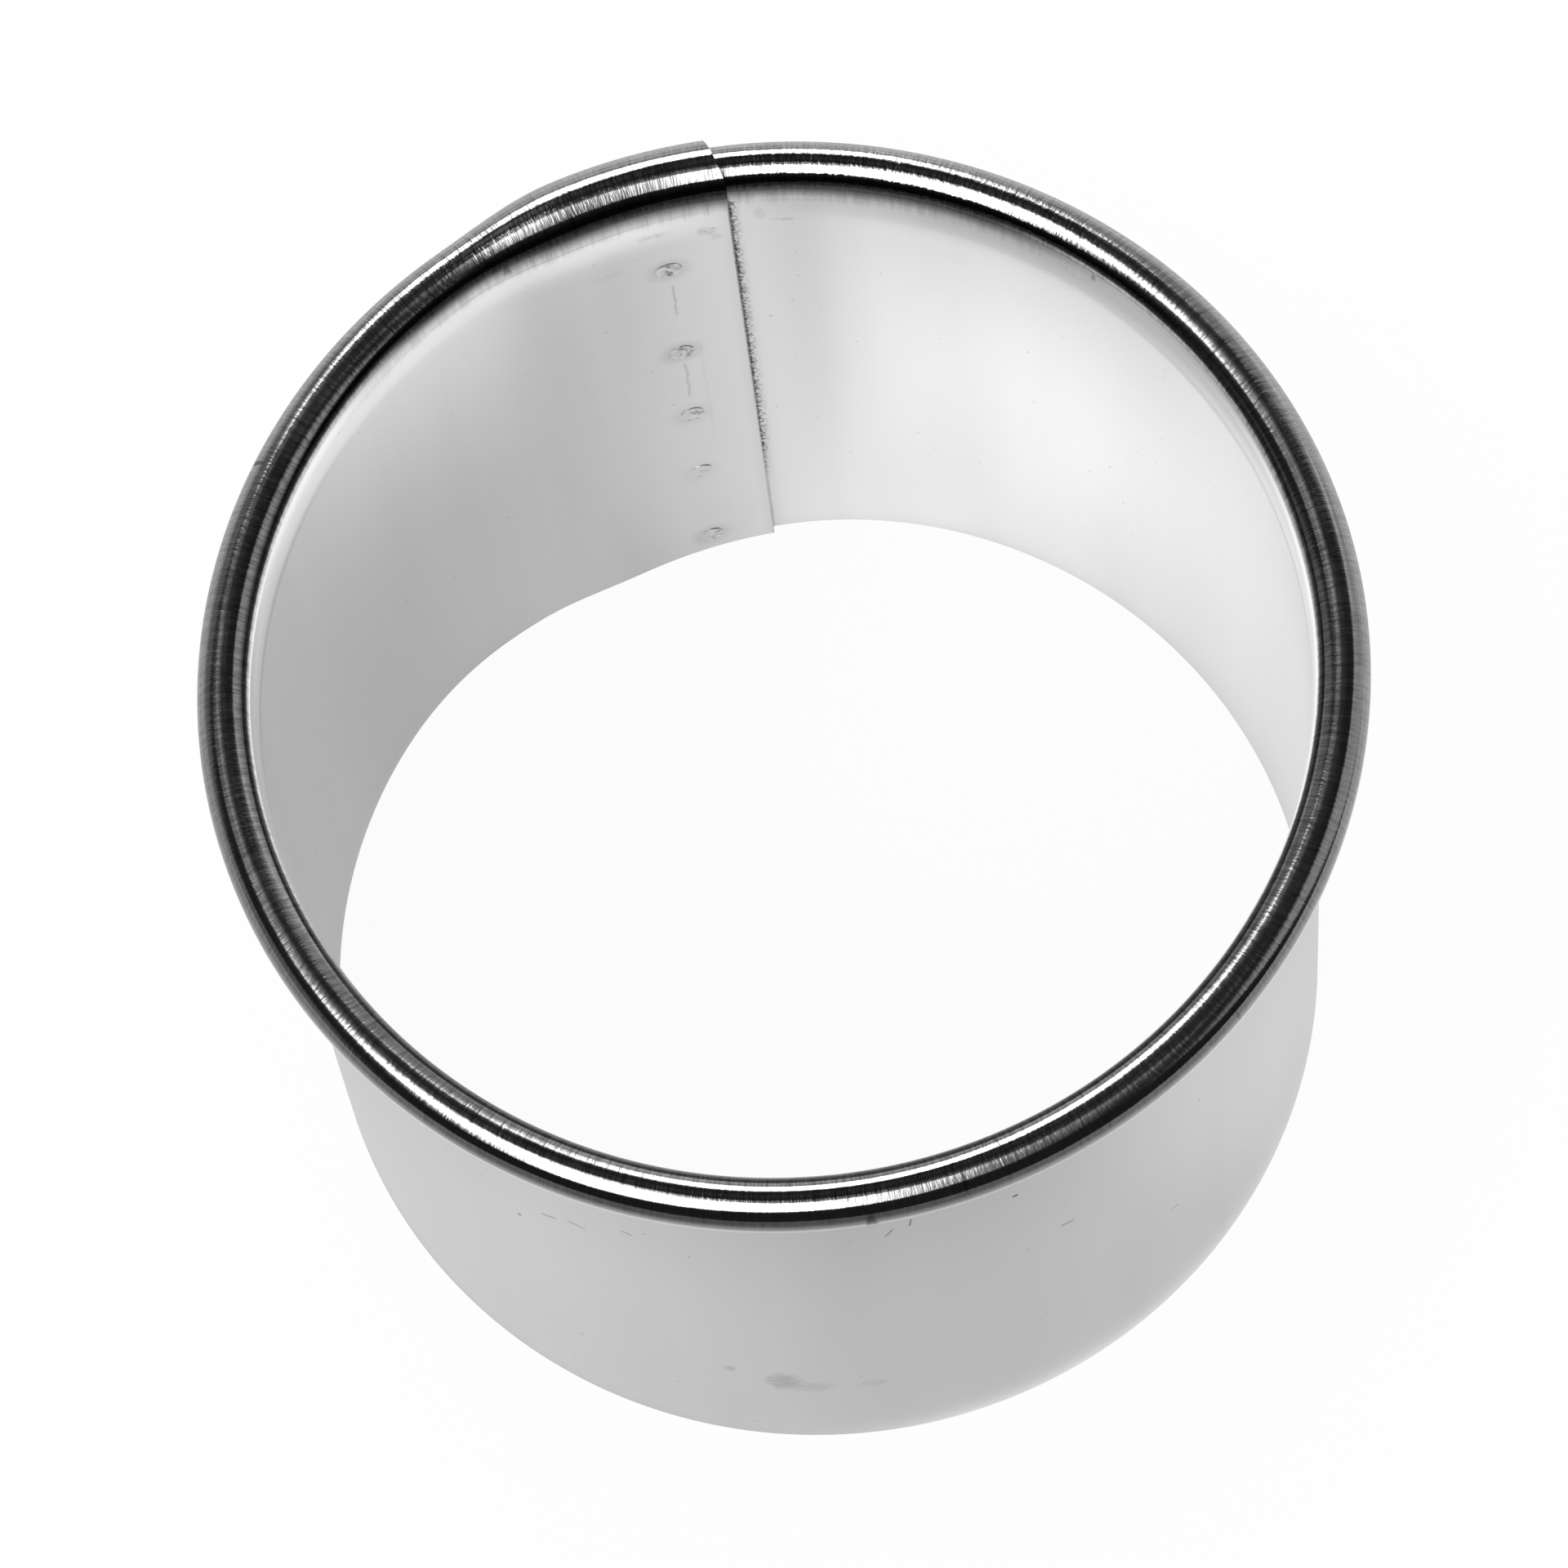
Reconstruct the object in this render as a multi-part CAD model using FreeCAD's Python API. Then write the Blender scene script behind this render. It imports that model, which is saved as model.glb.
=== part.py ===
import FreeCAD, Part
import math
import os

# Driving sizes, in millimetres
wall_outer_diameter = 60.0
ring_height = 47.7
sheet_thickness = 0.4
bead_diameter = 3.0
curl_edge_gap = 0.1
lap_width = 9.0
lap_gap = 0.05
joggle_width = 7.0
weld_diameter = 1.6
weld_dish_depth = 0.06
cut_overrun = 1.0

# Shares: the welds across the lap, and up the wall from the cutting edge
weld_lap_share = 0.45
weld_height_shares = [0.041, 0.245, 0.424, 0.613, 0.855]

# Angles, in degrees
seam_azimuth = 88.4
full_turn = 360.0
bead_start_angle = 180.0

# Counts
joggle_section_count = 7

# Sizes that follow from the ones above
wall_outer_radius = wall_outer_diameter / 2
wall_inner_radius = wall_outer_radius - sheet_thickness
bead_radius = bead_diameter / 2
bead_centre_radius = wall_inner_radius + bead_radius
bend_line_height = ring_height - bead_radius
flap_growth = sheet_thickness + lap_gap
lap_angle = math.degrees(lap_width / wall_inner_radius)
joggle_angle = math.degrees(joggle_width / wall_inner_radius)
weld_azimuth = seam_azimuth + lap_angle * weld_lap_share
weld_heights = [bend_line_height * share for share in weld_height_shares]
flap_end_azimuth = seam_azimuth + lap_angle
main_start_azimuth = flap_end_azimuth + joggle_angle

ring_axis = FreeCAD.Vector(0, 0, 1)
ring_origin = FreeCAD.Vector(0, 0, 0)


def turned(shape, azimuth):
    """A section drawn in the XZ plane, turned about the ring's axis."""
    copy = shape.copy()
    copy.rotate(ring_origin, ring_axis, azimuth)
    return copy


def wall_section(growth):
    """The straight wall of the strip, from the cutting edge to the bend line."""
    inner = wall_inner_radius - growth
    outer = inner + sheet_thickness
    corners = [
        FreeCAD.Vector(inner, 0, 0),
        FreeCAD.Vector(outer, 0, 0),
        FreeCAD.Vector(outer, 0, bend_line_height),
        FreeCAD.Vector(inner, 0, bend_line_height),
    ]
    return Part.makePolygon(corners + corners[:1])


def bead_point(radius, angle):
    """A point on a circle about the bead's centre, in the XZ plane."""
    turn = math.radians(angle)
    reach = bead_centre_radius + radius * math.cos(turn)
    return FreeCAD.Vector(reach, 0, bend_line_height + radius * math.sin(turn))


def bead_arc(radius, start, end):
    """An arc about the bead's centre."""
    middle = bead_point(radius, (start + end) / 2)
    return Part.Arc(bead_point(radius, start), middle, bead_point(radius, end)).toShape()


def bead_section(growth):
    """The edge of the strip, rolled outward until it almost meets the wall."""
    outer = bead_radius + growth
    inner = outer - sheet_thickness
    free_reach = bead_radius - sheet_thickness - curl_edge_gap
    end_angle = -math.degrees(math.acos(-free_reach / outer))
    skin = bead_arc(outer, bead_start_angle, end_angle)
    lip = Part.makeLine(bead_point(outer, end_angle), bead_point(inner, end_angle))
    hollow = bead_arc(inner, end_angle, bead_start_angle)
    foot = Part.makeLine(bead_point(inner, bead_start_angle), bead_point(outer, bead_start_angle))
    return Part.Wire([skin, lip, hollow, foot])


def swept(section, azimuth, sweep):
    """A section carried around the ring from one azimuth."""
    return Part.Face(turned(section, azimuth)).revolve(ring_origin, ring_axis, sweep)


def joggle(section_of):
    """The bend that takes the strip from the flap to the rest of the ring."""
    sections = []
    for index in range(joggle_section_count):
        share = index / (joggle_section_count - 1)
        ease_share = (1 + math.cos(math.pi * share)) / 2
        azimuth = flap_end_azimuth + joggle_angle * share
        sections.append(turned(section_of(flap_growth * ease_share), azimuth))
    return Part.makeLoft(sections, True, False)


def lapped_ring(section_of):
    """The strip bent into a ring, its flap lying inside its other end."""
    main = swept(section_of(0), main_start_azimuth, full_turn - joggle_angle)
    flap = swept(section_of(flap_growth), seam_azimuth, lap_angle)
    return main.fuse([joggle(section_of), flap]).removeSplitter()


def weld_column(height):
    """The cylinder through both layers of the lap that one weld takes up."""
    length = wall_outer_radius + cut_overrun
    column = Part.makeCylinder(weld_diameter / 2, length, ring_origin, FreeCAD.Vector(1, 0, 0))
    column = turned(column, weld_azimuth)
    column.translate(FreeCAD.Vector(0, 0, height))
    return column


def spot_weld(height):
    """One nugget, dished on both faces where the electrodes pressed."""
    outer = wall_outer_radius - weld_dish_depth
    inner = wall_inner_radius - flap_growth + weld_dish_depth
    layers = Part.makeCylinder(outer, ring_height).cut(Part.makeCylinder(inner, ring_height))
    return weld_column(height).common(layers)


def wall_band():
    """The lapped wall with the places of its welds cut out."""
    return lapped_ring(wall_section).cut([weld_column(height) for height in weld_heights])


def rolled_rim():
    """The lapped bead along the top of the wall."""
    return lapped_ring(bead_section)


def main():
    nodes = {"wall_band": wall_band(), "rolled_rim": rolled_rim()}
    for number, height in enumerate(weld_heights, 1):
        nodes[f"spot_weld_{number}"] = spot_weld(height)
    os.makedirs("parts", exist_ok=True)
    for name, shape in nodes.items():
        solid = shape.Solids[0]
        print(name, len(shape.Solids), shape.isValid(), round(solid.Volume, 3))
        solid.exportStep(f"parts/{name}.step")


main()
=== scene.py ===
import math
import bpy
from mathutils import Matrix, Vector


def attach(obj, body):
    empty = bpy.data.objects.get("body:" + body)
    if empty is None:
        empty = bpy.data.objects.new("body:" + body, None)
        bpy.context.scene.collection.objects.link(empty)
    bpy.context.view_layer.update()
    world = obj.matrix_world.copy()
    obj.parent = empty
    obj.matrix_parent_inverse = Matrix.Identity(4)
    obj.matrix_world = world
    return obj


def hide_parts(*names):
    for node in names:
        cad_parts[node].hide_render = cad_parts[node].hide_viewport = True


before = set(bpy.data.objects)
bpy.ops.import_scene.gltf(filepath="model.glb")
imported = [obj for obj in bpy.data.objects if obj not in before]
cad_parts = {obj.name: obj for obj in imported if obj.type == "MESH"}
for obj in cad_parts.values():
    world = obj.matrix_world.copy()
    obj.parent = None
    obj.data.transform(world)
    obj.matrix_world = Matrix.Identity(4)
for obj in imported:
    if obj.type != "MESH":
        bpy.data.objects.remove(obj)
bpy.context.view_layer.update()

print("frame loaded", sorted(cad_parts))

# sizes of the strip, in metres and degrees, as the solids have them
strip = {
    "innerRadius": 0.0296,
    "sheet": 0.0004,
    "beadRadius": 0.0015,
    "bendLine": 0.0462,
    "growth": 0.00045,      # how far the flap lies inside the other end
    "seam": 88.4,
    "lap": 17.4207,
    "joggle": 13.5495,
    "stepsPerDegree": 1.0,
    "smoothAngle": 40,
    "endSlack": 0.01,       # degrees, keeps the flap's end from counting as the end of a whole turn
    "nearly": 1e-6,
}
beadCentre = strip["innerRadius"] + strip["beadRadius"]


# shader sockets that can be added and multiplied
class Wire:
    def __init__(self, tree, socket=None):
        self.tree = tree
        self.socket = socket

    def node(self, kind, settings=None, inputs=None, out=0):
        made = self.tree.nodes.new(kind)
        for key, value in (settings or {}).items():
            if key == "stops":
                ramp = made.color_ramp
                while len(ramp.elements) < len(value):
                    ramp.elements.new(0.5)
                for element, (place, grey) in zip(ramp.elements, value):
                    element.position = place
                    element.color = (grey, grey, grey, 1)
            else:
                setattr(made, key, value)
        for key, value in (inputs or {}).items():
            if isinstance(value, Wire):
                self.tree.links.new(value.socket, made.inputs[key])
            else:
                made.inputs[key].default_value = value
        return Wire(self.tree, made.outputs[out])

    def math(self, operation, *values):
        return self.node("ShaderNodeMath", {"operation": operation}, dict(enumerate(values)))

    def __add__(self, other):
        return self.math("ADD", self, other)

    def __radd__(self, other):
        return self.math("ADD", other, self)

    def __sub__(self, other):
        return self.math("SUBTRACT", self, other)

    def __rsub__(self, other):
        return self.math("SUBTRACT", other, self)

    def __mul__(self, other):
        return self.math("MULTIPLY", self, other)

    def __rmul__(self, other):
        return self.math("MULTIPLY", other, self)

    def __truediv__(self, other):
        return self.math("DIVIDE", self, other)

    def __gt__(self, other):
        return self.math("GREATER_THAN", self, other)

    def most(self, other):
        return self.math("MAXIMUM", self, other)

    def least(self, other):
        return self.math("MINIMUM", self, other)

    def size(self):
        return self.math("ABSOLUTE", self)

    def root(self):
        return self.math("SQRT", self)

    # 1 below low, 0 above high
    def fade(self, low, high):
        return self.node("ShaderNodeMapRange", {"interpolation_type": "SMOOTHSTEP"},
                         {"Value": self, "From Min": low, "From Max": high, "To Min": 1.0, "To Max": 0.0})

    def noise(self, x, y, z, scale=1.0, detail=2.0, rough=0.5):
        place = self.node("ShaderNodeCombineXYZ", None, {0: x, 1: y, 2: z})
        return self.node("ShaderNodeTexNoise", None,
                         {"Vector": place, "Scale": scale, "Detail": detail, "Roughness": rough})

    def grey(self):
        return self.node("ShaderNodeCombineColor", None, {0: self, 1: self, 2: self})


def newMaterial(name):
    material = bpy.data.materials.new(name)
    material.use_nodes = True
    material.node_tree.nodes.clear()
    return material, Wire(material.node_tree)


# millimetres around the ring, up the ring and out from its axis, then whether a face looks outwards
def ringPlaces(wire):
    place = wire.node("ShaderNodeTexCoord", None, None, "Object")
    split = place.node("ShaderNodeSeparateXYZ", None, {0: place}).socket.node
    x, y, z = (Wire(wire.tree, split.outputs[i]) * 1000.0 for i in range(3))
    around = y.math("ARCTAN2", y, x) * (strip["innerRadius"] * 1000)
    facing = wire.node("ShaderNodeNewGeometry", None, None, "Normal")
    cut = facing.node("ShaderNodeSeparateXYZ", None, {0: facing}).socket.node
    nx, ny = Wire(wire.tree, cut.outputs[0]), Wire(wire.tree, cut.outputs[1])
    outside = nx * x + ny * y > 0.0
    return around, z, (x * x + y * y).root(), outside


# degrees from +X as millimetres around the ring, counted from -180 to 180 degrees
def arcAt(azimuth):
    turn = azimuth - 360 if azimuth > 180 else azimuth
    return math.radians(turn) * strip["innerRadius"] * 1000


# drawn above 0 smears what the steel mirrors along the ring
def finishSteel(wire, tone, rough, bump, drawn=0.0):
    shader = wire.node("ShaderNodeBsdfPrincipled", None, {
        "Base Color": tone.grey(), "Roughness": rough, "Metallic": 1.0, "Anisotropic": drawn, "Normal": bump}, "BSDF")
    out = wire.tree.nodes.new("ShaderNodeOutputMaterial")
    wire.tree.links.new(shader.socket, out.inputs["Surface"])


wallLook = {"tone": 0.74, "rough": 0.305, "cloud": 0.14, "grain": 0.08, "dots": 0.3, "grime": 0.7, "seamShade": 0.07,
            "dirtAndShadeMost": 0.9}
weldPlaces = {"azimuth": 96.24, "heights": (0.041, 0.245, 0.424, 0.613, 0.855), "radius": 0.0008,
              "stains": (1.1, 0.4, 0.8, 1.5, 1.3)}
# scratches outside at the front: degrees around, height, length and width in mm, slope in degrees, strength
scratches = [
    (272.7, 35.9, 1.3, 0.14, 64, 0.5), (275.1, 36.9, 1.2, 0.14, 83, 0.5), (286.8, 35.5, 0.35, 0.35, 0, 0.7),
    (292.6, 26.6, 1.0, 0.3, -15, 0.35), (307.2, 15.5, 0.7, 0.2, -22, 0.35), (230.4, 28.4, 0.25, 0.4, 0, 0.6),
    (234.6, 31.2, 1.2, 0.3, 24, 0.3), (238.0, 31.9, 1.3, 0.25, -14, 0.35), (244.1, 33.7, 0.8, 0.25, -27, 0.35),
    (243.7, 37.5, 0.8, 0.14, -82, 0.5),
]
# smudges there: degrees around, height, half width and half height in mm, strength
smudges = [
    (258.8, 10.6, 1.3, 1.9, 0.24), (262.0, 9.6, 1.5, 1.1, 0.12), (253.0, 12.2, 0.5, 0.6, 0.2),
    (268.5, 9.6, 1.2, 0.8, 0.08), (240.0, 40.5, 2.2, 0.9, 0.08), (236.5, 37.5, 1.4, 0.8, 0.08),
]
# the same inside, below the bead
insideSmudges = [
    (91.3, 43.5, 0.8, 0.7, 0.3), (90.2, 42.6, 0.4, 0.5, 0.25), (85.1, 44.0, 0.4, 0.9, 0.15),
    (82.3, 43.2, 1.1, 0.2, 0.25), (97.5, 44.2, 1.3, 0.4, 0.2), (103.0, 41.0, 1.6, 0.5, 0.08),
]
# upright scores inside beside the welds: lowest and highest point, place right of the welds, width in mm, strength
weldScores = [(33.2, 37.6, 0.1, 0.2, 0.34), (21.9, 27.1, 0.1, 0.26, 0.3), (14.0, 31.0, 1.2, 0.3, 0.06)]
# soft dark bands of painted reflection up the inside: degrees around, half width in mm, strength
uprightReflectionBands = [(117.0, 7.0, 0.035), (104.5, 3.0, 0.025), (72.0, 5.0, -0.05), (81.0, 2.5, 0.03)]
# wide pale bands of painted reflection that change on the way up: degrees around, half width in mm, gain at the foot
# and at the top
leaningReflectionBands = [
    (115.0, 13.4, 0.16, -0.1), (101.0, 8.8, 0.0, -0.22),
    (73.0, 11.4, -0.12, 0.0), (60.0, 13.4, -0.02, 0.25),
]
leanHeights = {"foot": 4.0, "top": 42.0, "gone": 45.4}      # mm


# 1 in the middle of a soft oval mark, 0 outside it
def ovalMark(around, z, middle, height, across, tall):
    a, b = (around - middle) / across, (z - height) / tall
    ragged = around.noise(around, z * 1.6, height, 1.7, 3.0) - 0.5
    return (a * a + b * b + ragged * 1.6).fade(0.0, 1.0)


def scratchMark(around, z, middle, height, length, width, slope):
    turn = math.radians(slope)
    a, b = around - middle, z - height
    along = (a * math.cos(turn) + b * math.sin(turn)) / (length / 2)
    over = (b * math.cos(turn) - a * math.sin(turn)) / (width / 2)
    return (along * along).fade(0.5, 1.0) * (over * over).fade(0.2, 1.0)


def weldStain(around, z, height):
    a, b = around - arcAt(weldPlaces["azimuth"]), z - height
    rough = around.noise(around, z, height, 2.2, 3.0)
    reach = (a * a + b * b).root() / (weldPlaces["radius"] * 1000) + (rough - 0.5) * 0.35
    ring = (reach - 1.0).size().fade(0.0, 0.16)
    halo = reach.fade(0.9, 2.2)
    return (ring * 0.18).most(halo * 0.1)


# how much paler the inside is than its plain tone, as painted reflection
def toneGain(around, z):
    foot = z.fade(leanHeights["foot"], leanHeights["top"])
    gain = 0.0
    for azimuth, wide, low, high in leaningReflectionBands:
        gain = (around - arcAt(azimuth)).size().fade(0.0, wide) * (foot * (low - high) + high) + gain
    return gain * z.fade(leanHeights["top"], leanHeights["gone"])


# painted shade of the bend below the bead: degrees around of its middle, then heights and places around in mm
bendShade = {"middle": 92, "above": 0.6, "depth": 1.6, "ragged": 0.5, "full": 16.0, "gone": 27.0, "strength": 0.88}
creaseLine = {"full": 22.0, "gone": 34.0, "strength": 0.22}


# the bend darkens upwards at the back as painted shade, its lower end slightly streaked like roller marks
def rollMarks(wire, around, z, inside):
    comb = 1 - wire.noise(around, z * 0.03, 23.0, 3.2, 3.0, 0.7).fade(0.35, 0.75)
    fall = (strip["bendLine"] * 1000 + bendShade["above"] - z) / (bendShade["depth"] + comb * bendShade["ragged"])
    atBack = (around - arcAt(bendShade["middle"])).size().fade(bendShade["full"], bendShade["gone"])
    return inside * fall.fade(0.0, 1.0) * atBack * bendShade["strength"]


# a thin line of painted shade where the bend meets the straight wall, plain at the sides
def creaseMark(around, z, inside):
    height = (strip["bendLine"] + neck["rise"] - neck["reach"]) * 1000
    atBack = (around - arcAt(bendShade["middle"])).size().fade(creaseLine["full"], creaseLine["gone"])
    return inside * (z - height).size().fade(0.1, 0.6) * (1 - atBack) * creaseLine["strength"]


def wallSteel():
    material, wire = newMaterial("satinWallSteel")
    around, z, _, outside = ringPlaces(wire)
    inside = 1 - outside
    top = strip["bendLine"] * 1000
    cloud = wire.noise(around, z * 0.12, 0.0, 0.14, 3.0)      # soft upright bands
    grain = wire.noise(around, z, 3.0, 9.0, 2.0)
    speck = wire.noise(around, z, 11.0, 2.1, 1.0)
    dirtAndShade = (1 - speck.fade(0.77, 0.8)) * wallLook["dots"]
    # grime caught along the flap's edge; the edge itself is a dark line, partly grime and partly painted shade in the
    # gap under the flap; and painted shade close to the seam
    seam = arcAt(strip["seam"])
    close = (seam - around).fade(0.0, 0.75) * ((seam - around) > -0.02)
    crumbs = 1 - (wire.noise(around, z, 17.0, 5.5, 3.0, 0.65) + close * 0.1).fade(0.5, 0.66)
    beside = close * (1 - z.fade(6.0, 14.0))
    upper = 1 - z.fade(8.0, 42.0)
    edge = (around - seam).size().fade(0.03, 0.16) * (0.5 + crumbs * 0.35) * (0.35 + upper * 0.65)
    shade = (around - seam).size().fade(0.1, 0.9)
    dirtAndShade = dirtAndShade + inside * (beside * crumbs * wallLook["grime"] + edge + shade * wallLook["seamShade"])
    for share, strength in zip(weldPlaces["heights"], weldPlaces["stains"]):
        dirtAndShade = dirtAndShade + weldStain(around, z, share * top) * strength
    wander = around + (wire.noise(around * 0.3, z, 5.0, 0.9, 2.0) - 0.5) * 0.3
    for low, high, over, width, strength in weldScores:
        score = scratchMark(wander, z, arcAt(weldPlaces["azimuth"]) - over, (low + high) / 2, high - low, width, 90)
        dirtAndShade = dirtAndShade + inside * score * (0.5 + crumbs * 0.5) * strength
    front = 0.0
    for azimuth, height, length, width, slope, strength in scratches:
        front = scratchMark(around, z, arcAt(azimuth), height, length, width, slope) * strength + front
    for azimuth, height, across, tall, strength in smudges:
        front = ovalMark(around, z, arcAt(azimuth), height, across, tall) * (0.5 + speck) * strength + front
    back = 0.0
    for azimuth, height, across, tall, strength in insideSmudges:
        back = ovalMark(around, z, arcAt(azimuth), height, across, tall) * (0.4 + crumbs) * strength + back
    dirtAndShade = (dirtAndShade + outside * front + inside * back).least(wallLook["dirtAndShadeMost"])
    tone = wallLook["tone"] + (cloud - 0.5) * wallLook["cloud"] + (grain - 0.5) * wallLook["grain"]
    # painted shade of the bend and the crease below the bead
    shadeAndRollMarks = rollMarks(wire, around, z, inside).most(creaseMark(around, z, inside))
    # painted reflection bands up the inside, then the painted shade of the bend and the crease
    for azimuth, wide, strength in uprightReflectionBands:
        tone = tone - inside * (around - arcAt(azimuth)).size().fade(0.0, wide) * strength
    tone = tone * (1 + inside * toneGain(around, z)) * (1 - dirtAndShade.most(shadeAndRollMarks))
    rough = wallLook["rough"] + (cloud - 0.5) * 0.05 + dirtAndShade * 0.2
    bump = wire.node("ShaderNodeBump", None, {"Strength": 0.2, "Distance": 0.00002, "Height": 1 - dirtAndShade.most(0.2)})
    finishSteel(wire, tone, rough, bump)
    return material


# places are degrees around, the painted dark line's is mm above the bend line
rimLook = {"tone": 0.72, "rough": 0.12, "drawn": 0.9, "chatter": 0.6, "streak": 1.7, "darkest": 0.12, "palest": 0.95,
           "lineUp": 0.88, "lineDepth": 0.85, "frontAt": 268, "sleeveChatterAt": 113, "teethAt": 64}


def rimSteel():
    material, wire = newMaterial("brightRimSteel")
    around, z, out, outside = ringPlaces(wire)
    lines = wire.noise(around, out * 0.12, z * 0.12, 5.5, 3.0, 0.7)      # marks across the bead
    nick = wire.noise(around, out * 0.15, z * 0.15, 0.7, 1.0)
    patch = wire.noise(around * 0.3, out, z, 0.8, 2.0)
    cuts = 1 - nick.fade(0.72, 0.745)
    rolled = 1 - z.fade(strip["bendLine"] * 1000 - 0.6, strip["bendLine"] * 1000 + 0.15)
    # height above the bend line, as if the sleeve were no larger than the rest of the bead
    past = around - arcAt(strip["seam"])
    sleeve = (past > 0.0) * past.fade(9.0, 16.0)
    up = (z - strip["bendLine"] * 1000) * (1 - sleeve * 0.23)
    inside = 1 - outside
    turnUp = up.fade(0.85, 1.15)
    # painted shade: a dark line in the hollow of the bend
    line = (up - rimLook["lineUp"]).size().fade(0.1, 0.36)      # dark line in the hollow of the bend
    # painted shade along the bead's inner edge at the front
    front = (around - arcAt(rimLook["frontAt"])).size().fade(26.0, 38.0) * up.fade(1.02, 1.42)
    # the flap's edge runs on up the skirt as a dark line, partly painted shade
    edge = past.size().fade(0.03, 0.16) * up.fade(0.2, 0.9)
    # the bend's painted shade carries on up the skirt
    dark = (turnUp * rollMarks(wire, around, z, inside)).most(inside * line.most(front) * rimLook["lineDepth"])
    dark = dark.most(inside * edge * 0.75)
    streak = (lines - 0.5) * rimLook["streak"] * (0.5 + patch) * (0.4 + out.fade(31.3, 32.1) * 0.6)
    along = wire.noise(around * 0.04, out, z, 7.0, 2.0) - 0.5      # finer lines along it on the outside
    streak = (streak + along * outside * 0.3) * (1 - up.fade(0.2, 0.7))
    tone = wallLook["tone"] + rolled * (rimLook["tone"] - wallLook["tone"] + streak - cuts * 0.4)
    tone = tone.most(rimLook["darkest"]).least(rimLook["palest"]) * (1 - dark)
    # rougher chatter on the sleeve and right of the seam
    sleeveMarks = (around - arcAt(rimLook["sleeveChatterAt"])).size().fade(4.0, 9.0)
    rightOfSeam = (around - arcAt(rimLook["teethAt"])).size().fade(9.0, 15.0)
    teeth = wire.noise(around, out * 0.45, z * 0.45, 5.0, 2.0) * rightOfSeam
    chatter = lines * (0.6 + sleeveMarks * 0.4) + teeth * 0.7
    rough = wallLook["rough"] + rolled * (rimLook["rough"] - wallLook["rough"] + (patch - 0.5) * 0.08)
    bump = wire.node("ShaderNodeBump", None, {
        "Strength": rimLook["chatter"], "Distance": 0.00004, "Height": chatter * rolled})
    finishSteel(wire, tone, rough, bump, rimLook["drawn"])
    return material


buttonLook = {"burn": 0.34, "rough": 0.3, "burntRough": 0.15, "faintShare": 0.7}


def weldSteel():
    material, wire = newMaterial("dullWeldSteel")
    around, z, _, outside = ringPlaces(wire)
    stain = wire.noise(around, z, 0.0, 1.9, 4.0, 0.65)
    # the second weld from below hardly shows
    faint = (z - weldPlaces["heights"][1] * strip["bendLine"] * 1000).size().fade(1.5, 2.0)
    burn = (1 - stain.fade(0.44, 0.62)) * (1 - faint * buttonLook["faintShare"])
    # inside, the welds take the wall's painted reflection too
    tone = wallLook["tone"] * (1 + (1 - outside) * toneGain(around, z)) - burn * buttonLook["burn"]
    rough = buttonLook["rough"] + burn * buttonLook["burntRough"]
    bump = wire.node("ShaderNodeBump", None, {"Strength": 0.3, "Distance": 0.00003, "Height": stain})
    finishSteel(wire, tone, rough, bump)
    return material


# how much the strip grows towards the flap, and how far the lap is pressed flat
def growthAt(fromSeam):
    share = min(max((fromSeam - strip["lap"]) / strip["joggle"], 0.0), 1.0)
    return strip["growth"] * (1 + math.cos(math.pi * share)) / 2


flatSpot = {"middle": 112.0, "before": 28.0, "after": 16.0, "depth": 0.0009}


def flattenAt(azimuth, height):
    turn = (azimuth - flatSpot["middle"] + 180) % 360 - 180
    width = flatSpot["before"] if turn < 0 else flatSpot["after"]
    rise = max(1 - height / strip["bendLine"], 0.0)
    return -flatSpot["depth"] * math.exp(-(turn / width) ** 2) * rise


# below the bead the wall leans in as far as a crease, then eases out again
neck = {"reach": 0.0027, "steep": 0.16, "crease": 0.03, "easesAt": 0.004, "lift": 0.00002, "rise": 0.00024}


def neckAt(height):
    drop = strip["bendLine"] + neck["rise"] - height
    turn = min(max(drop / neck["rise"], 0.0), 1.0)      # none of it is left above the bend
    fall = min(max(drop, neck["rise"]), neck["reach"])
    draw = neck["steep"] * fall - (neck["steep"] - neck["crease"]) * fall * fall / (2 * neck["reach"])
    crease = strip["bendLine"] + neck["rise"] - neck["reach"]
    ease = min(max((height - neck["easesAt"]) / (crease - neck["easesAt"]), 0.0), 1.0)
    return (neck["lift"] - draw) * ease * ease * turn


def clearSelection():
    if bpy.context.object and bpy.context.object.mode != "OBJECT":
        bpy.ops.object.mode_set(mode="OBJECT")
    bpy.ops.object.select_all(action="DESELECT")


def nameActive(name):
    piece = bpy.context.object
    piece.name = name
    piece.data.name = name
    return piece


def rollPoint(radius, azimuth, height):
    turn = math.radians(azimuth)
    return Vector((radius * math.cos(turn), radius * math.sin(turn), height))


def azimuthOf(place):
    return math.degrees(math.atan2(place.y, place.x))


# degrees on from the flap's end
def degreesFromSeam(azimuth):
    return (azimuth - strip["seam"] + strip["endSlack"]) % 360


# moves each point of the flap by how much the strip has grown there
def growFlap(piece, aboutBead):
    for vertex in piece.data.vertices:
        azimuth = azimuthOf(vertex.co)
        grow = growthAt(degreesFromSeam(azimuth))
        radius = math.hypot(vertex.co.x, vertex.co.y)
        out, up = radius - beadCentre, vertex.co.z - strip["bendLine"]
        if aboutBead and (up > 0 or out > -strip["beadRadius"] + strip["nearly"]):
            reach = math.hypot(out, up)
            out, up = out * (reach + grow) / reach, up * (reach + grow) / reach
        else:
            out -= grow
        vertex.co = rollPoint(beadCentre + out, azimuth, strip["bendLine"] + up)


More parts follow.
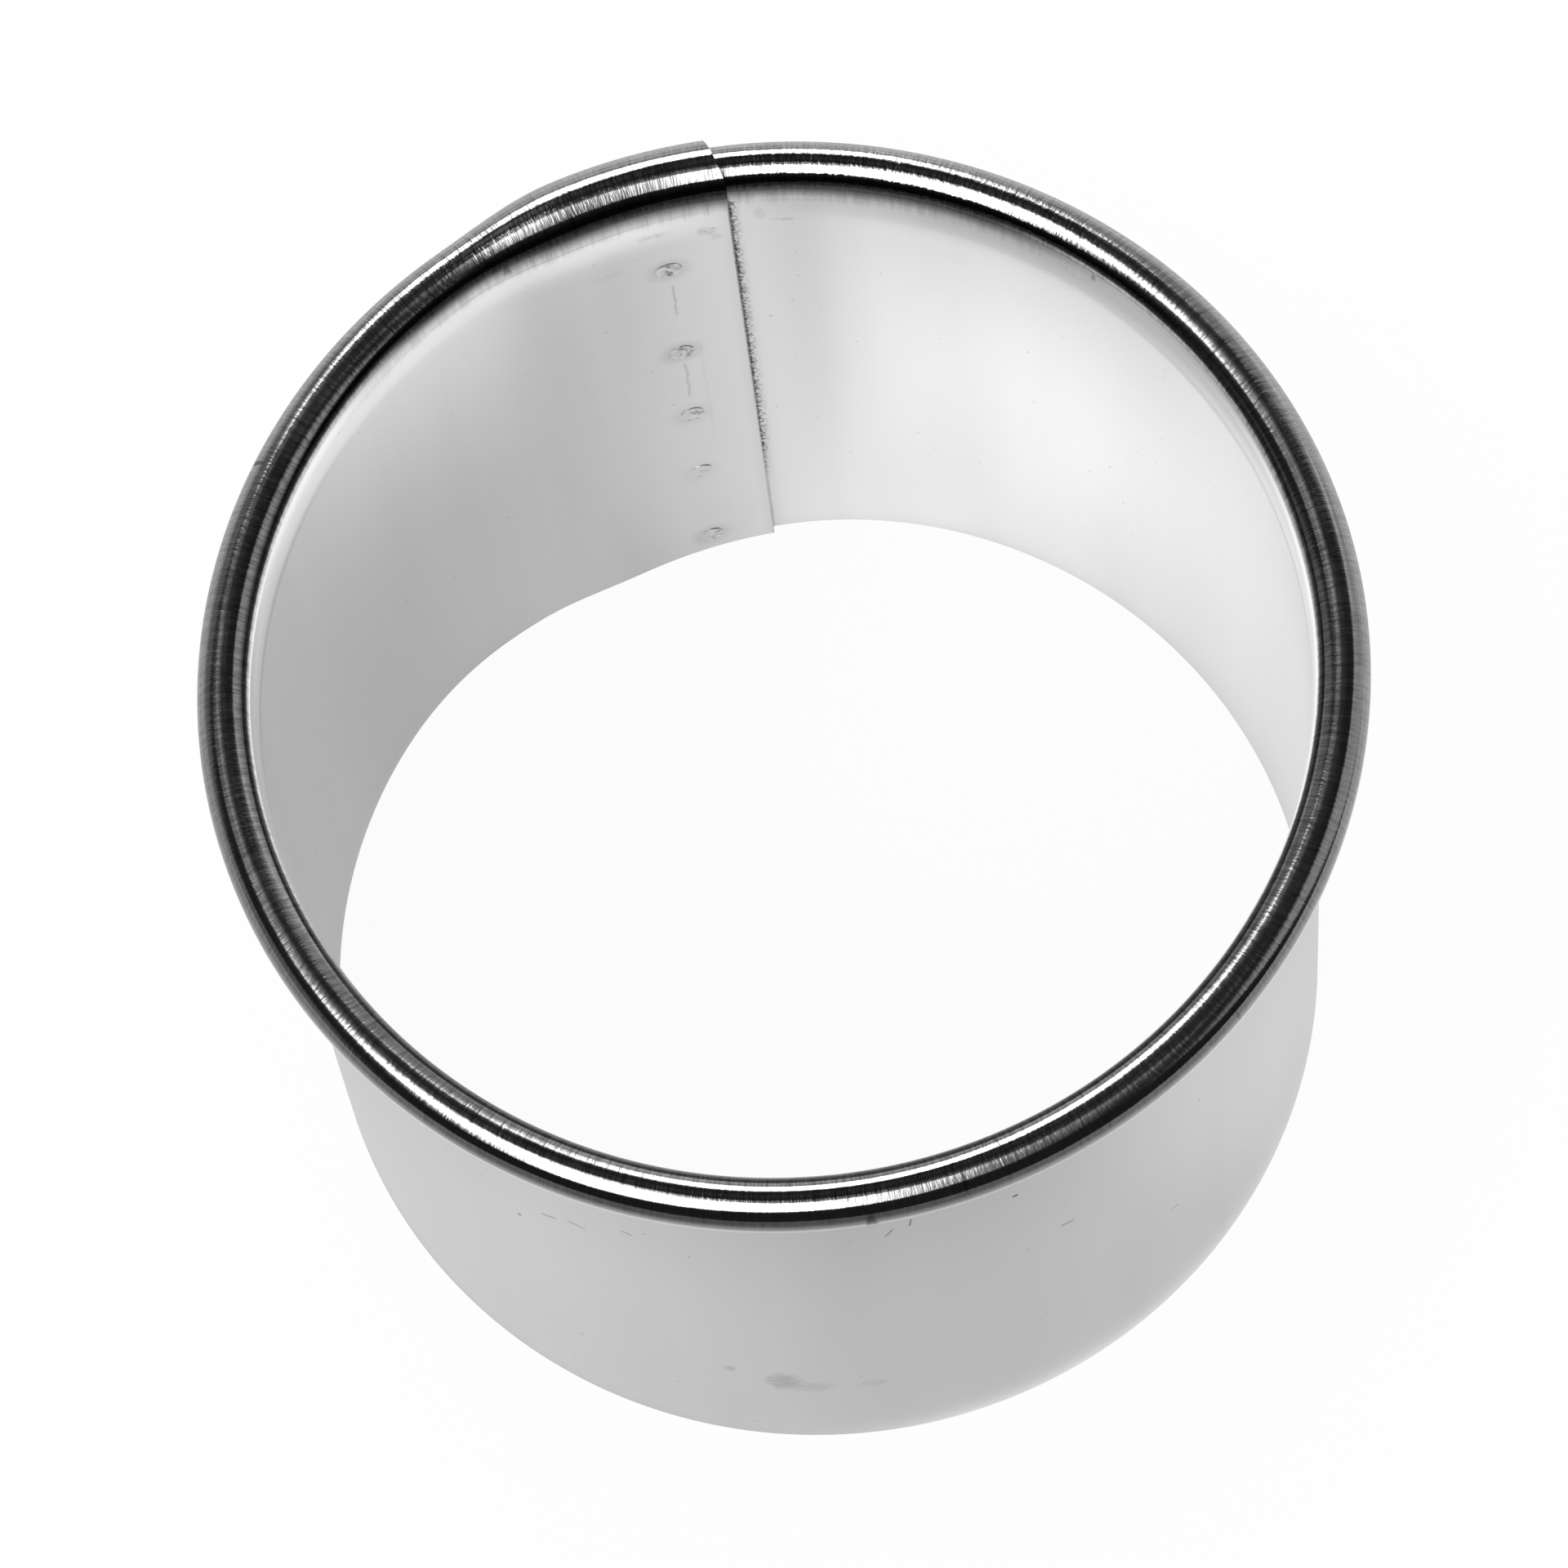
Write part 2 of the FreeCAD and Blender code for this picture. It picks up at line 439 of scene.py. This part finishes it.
# leaves edit mode on, with only the points that pass the test selected
def selectPoints(piece, test):
    bpy.ops.object.mode_set(mode="EDIT")
    bpy.ops.mesh.select_mode(type="VERT")
    bpy.ops.mesh.select_all(action="DESELECT")
    bpy.ops.object.mode_set(mode="OBJECT")
    for vertex in piece.data.vertices:
        vertex.select = test(vertex.co)
    bpy.ops.object.mode_set(mode="EDIT")


# carries the open edge that lies at one azimuth on around the ring
def spinEdge(piece, azimuth, sweep):
    selectPoints(piece, lambda place: abs((azimuthOf(place) - azimuth + 180) % 360 - 180) < 0.05)
    bpy.ops.mesh.spin(steps=round(sweep * strip["stepsPerDegree"]), angle=-math.radians(sweep),
                      center=(0, 0, 0), axis=(0, 0, 1))
    bpy.ops.object.mode_set(mode="OBJECT")


def thicken(piece, sheet, side):
    bpy.ops.object.mode_set(mode="EDIT")
    bpy.ops.mesh.select_all(action="SELECT")
    bpy.ops.mesh.remove_doubles(threshold=1e-7)
    bpy.ops.object.mode_set(mode="OBJECT")
    solid = piece.modifiers.new("sheet", "SOLIDIFY")
    solid.thickness = sheet
    solid.offset = side
    solid.use_even_offset = True
    bpy.ops.object.modifier_apply(modifier="sheet")
    bpy.ops.object.shade_smooth_by_angle(angle=math.radians(strip["smoothAngle"]))


wallShape = {"rows": 60, "rimSkirt": 0.0006}


def makeWall():
    clearSelection()
    bpy.ops.mesh.primitive_plane_add(size=0.01)
    wall = nameActive("wallBand")
    low, high = 0.0, strip["bendLine"] - wallShape["rimSkirt"]
    selectPoints(wall, lambda place: place.x > 0)
    bpy.ops.mesh.delete(type="VERT")
    bpy.ops.object.mode_set(mode="OBJECT")
    ends = sorted(wall.data.vertices, key=lambda vertex: vertex.co.y)
    for vertex, height in zip(ends, (low, high)):
        vertex.co = rollPoint(strip["innerRadius"], strip["seam"], height)
    bpy.ops.object.mode_set(mode="EDIT")
    bpy.ops.mesh.select_all(action="SELECT")
    bpy.ops.mesh.subdivide(number_cuts=wallShape["rows"] - 1)
    rollRing(wall, False)
    for vertex in wall.data.vertices:
        azimuth = azimuthOf(vertex.co)
        height = high * (1 - (1 - vertex.co.z / high) ** 2)      # finer rows towards the bead
        radius = math.hypot(vertex.co.x, vertex.co.y) + flattenAt(azimuth, height) + neckAt(height)
        vertex.co = rollPoint(radius, azimuth, height)
    thicken(wall, strip["sheet"], 1.0)
    return wall


# the flap and its joggle first, then the rest of the turn, which ends behind the flap
def rollRing(piece, aboutBead):
    flapSweep = strip["lap"] + strip["joggle"]
    spinEdge(piece, strip["seam"], flapSweep)
    growFlap(piece, aboutBead)
    spinEdge(piece, strip["seam"] + flapSweep, 360 - strip["joggle"])


rimShape = {"points": 72, "edgeGap": 0.0001, "skirtRows": 6, "skirtWithin": 0.02975,
            "slant": 1.7, "slantReach": 4.0}


def makeRim():
    clearSelection()
    bpy.ops.mesh.primitive_circle_add(vertices=rimShape["points"], radius=strip["beadRadius"])
    rim = nameActive("rolledRim")
    lip = -(strip["beadRadius"] - strip["sheet"] - rimShape["edgeGap"])
    selectPoints(rim, lambda place: place.y < -strip["nearly"] and place.x < lip)
    bpy.ops.mesh.delete(type="VERT")
    selectPoints(rim, lambda place: place.x < strip["nearly"] - strip["beadRadius"])
    for row in range(rimShape["skirtRows"]):
        step = wallShape["rimSkirt"] / rimShape["skirtRows"]
        bpy.ops.mesh.extrude_region_move(TRANSFORM_OT_translate={"value": (0, -step, 0)})
    bpy.ops.object.mode_set(mode="OBJECT")
    for vertex in rim.data.vertices:
        vertex.co = rollPoint(beadCentre + vertex.co.x, strip["seam"], strip["bendLine"] + vertex.co.y)
    rollRing(rim, True)
    for vertex in rim.data.vertices:
        azimuth = azimuthOf(vertex.co)
        radius = math.hypot(vertex.co.x, vertex.co.y)
        fromSeam = degreesFromSeam(azimuth)
        # the sleeve's end is cut at a slant, later on its outer side
        outward = max((radius - strip["innerRadius"]) / (strip["beadRadius"] * 2), 0.0)
        azimuth += rimShape["slant"] * outward * max(1 - fromSeam / rimShape["slantReach"], 0.0)
        if radius < rimShape["skirtWithin"]:
            radius += neckAt(vertex.co.z)
        vertex.co = rollPoint(radius, azimuth, vertex.co.z)
    thicken(rim, strip["sheet"], -1.0)
    return rim


wall = makeWall()
print("wall", len(wall.data.polygons), wall.dimensions[:])
rim = makeRim()
print("rim", len(rim.data.polygons), rim.dimensions[:])
wall.data.materials.append(wallSteel())
rim.data.materials.append(rimSteel())
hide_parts("wall_band")
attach(wall, "root")
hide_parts("rolled_rim")
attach(rim, "root")

weldShape = {"points": 40, "lip": 0.000022, "dish": 0.000015, "ring": 0.00016, "smoothAngle": 50}


# a button through both layers of the lap, with a low ring and a dished middle on each face
def makeWeld():
    deep = strip["growth"] + strip["sheet"] + weldShape["lip"] * 2
    clearSelection()
    bpy.ops.mesh.primitive_cylinder_add(vertices=weldShape["points"], radius=weldPlaces["radius"], depth=deep)
    weld = nameActive("spotWeld1")
    bpy.ops.object.mode_set(mode="EDIT")
    bpy.ops.mesh.select_mode(type="FACE")
    for side in (1, -1):
        bpy.ops.mesh.select_all(action="DESELECT")
        bpy.ops.object.mode_set(mode="OBJECT")
        for face in weld.data.polygons:
            face.select = face.normal.z * side > 0.9
        bpy.ops.object.mode_set(mode="EDIT")
        bpy.ops.mesh.inset(thickness=weldShape["ring"], depth=0)
        bpy.ops.mesh.inset(thickness=weldShape["ring"], depth=-weldShape["dish"])
        bpy.ops.mesh.inset(thickness=weldShape["ring"], depth=-weldShape["dish"] / 4)
    bpy.ops.mesh.select_all(action="SELECT")
    bpy.ops.mesh.normals_make_consistent(inside=False)
    bpy.ops.object.mode_set(mode="OBJECT")
    bpy.ops.object.shade_smooth_by_angle(angle=math.radians(weldShape["smoothAngle"]))
    return weld


# turns a weld to face the axis and sets it into the pressed lap
def placeWeld(weld, share):
    height, azimuth = share * strip["bendLine"], weldPlaces["azimuth"]
    middle = strip["innerRadius"] + (strip["sheet"] - strip["growth"]) / 2
    middle += flattenAt(azimuth, height) + neckAt(height)
    turn = Matrix.Rotation(math.radians(azimuth), 4, "Z") @ Matrix.Rotation(math.radians(90), 4, "Y")
    weld.data.transform(Matrix.Translation(rollPoint(middle, azimuth, height)) @ turn)


welds = [makeWeld()]
for number in range(2, len(weldPlaces["heights"]) + 1):
    bpy.ops.object.duplicate()
    welds.append(nameActive("spotWeld" + str(number)))
weldLook = weldSteel()
for number, (weld, share) in enumerate(zip(welds, weldPlaces["heights"]), 1):
    placeWeld(weld, share)
    weld.data.materials.append(weldLook)
    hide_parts("spot_weld_" + str(number))
    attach(weld, "root")
print("welds placed", len(welds))


# studio: angles of the light zones that the steel sees are (low, high) going up from the front
# over the top to the back, then (left, right) of the middle, then how soft the edge is and how bright
studio = {
    "floorSize": 3.0,
    "floorGap": 0.00005,
    "floorShadow": 0.05,
    "dark": 0.012,
    "ambient": 0.9,
    "zones": [
        (46, 79, -36, 1, 3, 2.4),        # window in front, below and beside the camera
        (79, 90, -36, -14, 5, 2.4),
        (90, 114, -36, -17, 6, 0.14),    # its glow overhead
        (50, 84, 1, 16, 7, 0.13),
        (52, 185, 47, 90, 8, 0.24),      # grey wall on the right
        (130, 185, 14, 47, 6, 0.2),
        (135, 154, -18, 11, 3, 2.4),     # small window behind
        (154, 185, -18, 14, 4, 0.22),
        (136, 185, -75, -18, 8, 0.11),
        (108, 119, -22, -9, 5, 0.07),    # gleam straight above
        (0, 180, -90, -76, 7, 0.09),     # pale walls low down on the left, on the right and behind
        (0, 180, 76, 90, 7, 0.03),
        (170, 185, -76, 76, 8, 0.18),
    ],
    # what the steel sees of the floor: brightness by distance from the middle, as a share of floorReach in mm,
    # then inside and outside the ring by how far right, from -leanReach to leanReach
    "floorReach": 150.0,
    "floorSeen": [(0.0, 0.95), (0.19, 0.95), (0.207, 0.75), (0.235, 0.74), (0.27, 0.78),
                  (0.31, 0.69), (0.42, 0.35), (0.7, 0.06), (0.95, 0.0)],
    "leanReach": 40.0,
    "leanInside": [(0.12, 0.61), (0.28, 0.6), (0.41, 0.63), (0.48, 0.84),
                   (0.55, 1.27), (0.64, 1.36), (0.76, 1.14), (0.9, 0.84)],
    "leanForward": 0.16,      # and brighter again towards the front, from 20 mm behind the middle
    "forwardFrom": 20.0,
    "forwardReach": 40.0,
    "ringEdge": (29.0, 31.0),
    "leanOutside": [(0.12, 1.12), (0.3, 1.0), (0.5, 0.88), (0.7, 0.9), (0.8, 0.95), (0.9, 1.16)],
    "farFloor": (0.27, 0.05, 0.22),      # middle, rise to the right, rise to the back
    "farFrom": (0.3, 0.75),
}


def makeFloor():
    clearSelection()
    bpy.ops.mesh.primitive_plane_add(size=studio["floorSize"], location=(0, 0, -studio["floorGap"]))
    floor = nameActive("floor")
    material, wire = newMaterial("paleFloor")
    ray = wire.node("ShaderNodeLightPath").socket.node
    camera, glossy, through = (Wire(wire.tree, ray.outputs[name])
                               for name in ("Is Camera Ray", "Is Glossy Ray", "Is Transmission Ray"))
    seen = camera.most(glossy).most(through) * (1 - studio["floorShadow"])
    place = wire.node("ShaderNodeTexCoord", None, None, "Object")
    split = place.node("ShaderNodeSeparateXYZ", None, {0: place}).socket.node
    x, y = (Wire(wire.tree, split.outputs[i]) * 1000.0 for i in range(2))
    away = (x * x + y * y).root()
    reach = away / studio["floorReach"]
    across = x / (studio["leanReach"] * 2) + 0.5
    spread, inLean, outLean = (
        value.node("ShaderNodeValToRGB", {"stops": studio[name]}, {0: value})
        for value, name in ((reach, "floorSeen"), (across, "leanInside"), (across, "leanOutside")))
    within = away.fade(*studio["ringEdge"])
    ahead = ((studio["forwardFrom"] - y) / studio["forwardReach"]).most(0.0).least(1.0)
    forward = 1.0 + ahead * studio["leanForward"]
    lean = outLean + within * (inLean * forward - outLean)
    middle, right, back = studio["farFloor"]
    far = (1 - reach.fade(*studio["farFrom"])) * (middle + x / away * right + y / away * back)
    level = glossy * (spread * lean + far - 1.0) + 1.0
    matt = wire.node("ShaderNodeBsdfDiffuse", None, {"Color": (0.9, 0.9, 0.9, 1)})
    white = wire.node("ShaderNodeEmission", None, {"Color": (1, 1, 1, 1), "Strength": level})
    mix = wire.node("ShaderNodeMixShader", None, {0: seen, 1: matt, 2: white})
    under = wire.node("ShaderNodeNewGeometry", None, None, "Backfacing")      # clear from below
    mix = wire.node("ShaderNodeMixShader", None, {0: under, 1: mix, 2: wire.node("ShaderNodeBsdfTransparent")})
    out = wire.tree.nodes.new("ShaderNodeOutputMaterial")
    wire.tree.links.new(mix.socket, out.inputs["Surface"])
    floor.data.materials.append(material)


def makeWorld():
    world = bpy.data.worlds.new("studio")
    bpy.context.scene.world = world
    world.use_nodes = True
    world.node_tree.nodes.clear()
    wire = Wire(world.node_tree)
    ray = wire.node("ShaderNodeLightPath").socket.node
    camera, matt = Wire(wire.tree, ray.outputs["Is Camera Ray"]), Wire(wire.tree, ray.outputs["Is Diffuse Ray"])
    way = wire.node("ShaderNodeTexCoord", None, None, "Generated")
    split = way.node("ShaderNodeSeparateXYZ", None, {0: way}).socket.node
    x, y, z = (Wire(wire.tree, split.outputs[i]) for i in range(3))
    side = x.math("ARCSINE", x) * math.degrees(1)
    rise = z.math("ARCTAN2", z, y * -1.0) * math.degrees(1)
    level = studio["dark"]
    for low, high, left, right, soft, bright in studio["zones"]:
        inside = rise.fade(high, high + soft) * (1 - rise.fade(low - soft, low))
        inside = inside * side.fade(right, right + soft) * (1 - side.fade(left - soft, left))
        level = inside * bright + level
    level = level * (1 - camera.most(matt)) + camera + matt * studio["ambient"]
    light = wire.node("ShaderNodeBackground", None, {"Color": (1, 1, 1, 1), "Strength": level})
    out = wire.tree.nodes.new("ShaderNodeOutputWorld")
    wire.tree.links.new(light.socket, out.inputs["Surface"])


shot = {
    "place": (0.0, -0.168807, 0.451496),
    "right": (0.98963, -0.1327, -0.054991),
    "up": (0.143632, 0.918847, 0.367545),
    "lens": 181.676,
}


def makeCamera():
    lens = bpy.data.cameras.new("photoCamera")
    lens.sensor_fit = "HORIZONTAL"
    lens.sensor_width = 36.0
    lens.lens = shot["lens"]
    lens.clip_start = 0.01
    camera = bpy.data.objects.new("photoCamera", lens)
    bpy.context.scene.collection.objects.link(camera)
    right, up = Vector(shot["right"]), Vector(shot["up"])
    back = right.cross(up)
    turn = Matrix((right, up, back)).transposed().to_4x4()
    camera.matrix_world = Matrix.Translation(Vector(shot["place"])) @ turn
    bpy.context.scene.camera = camera


makeFloor()
makeWorld()
makeCamera()
bpy.context.scene.view_settings.view_transform = "Standard"
print("studio and camera ready")
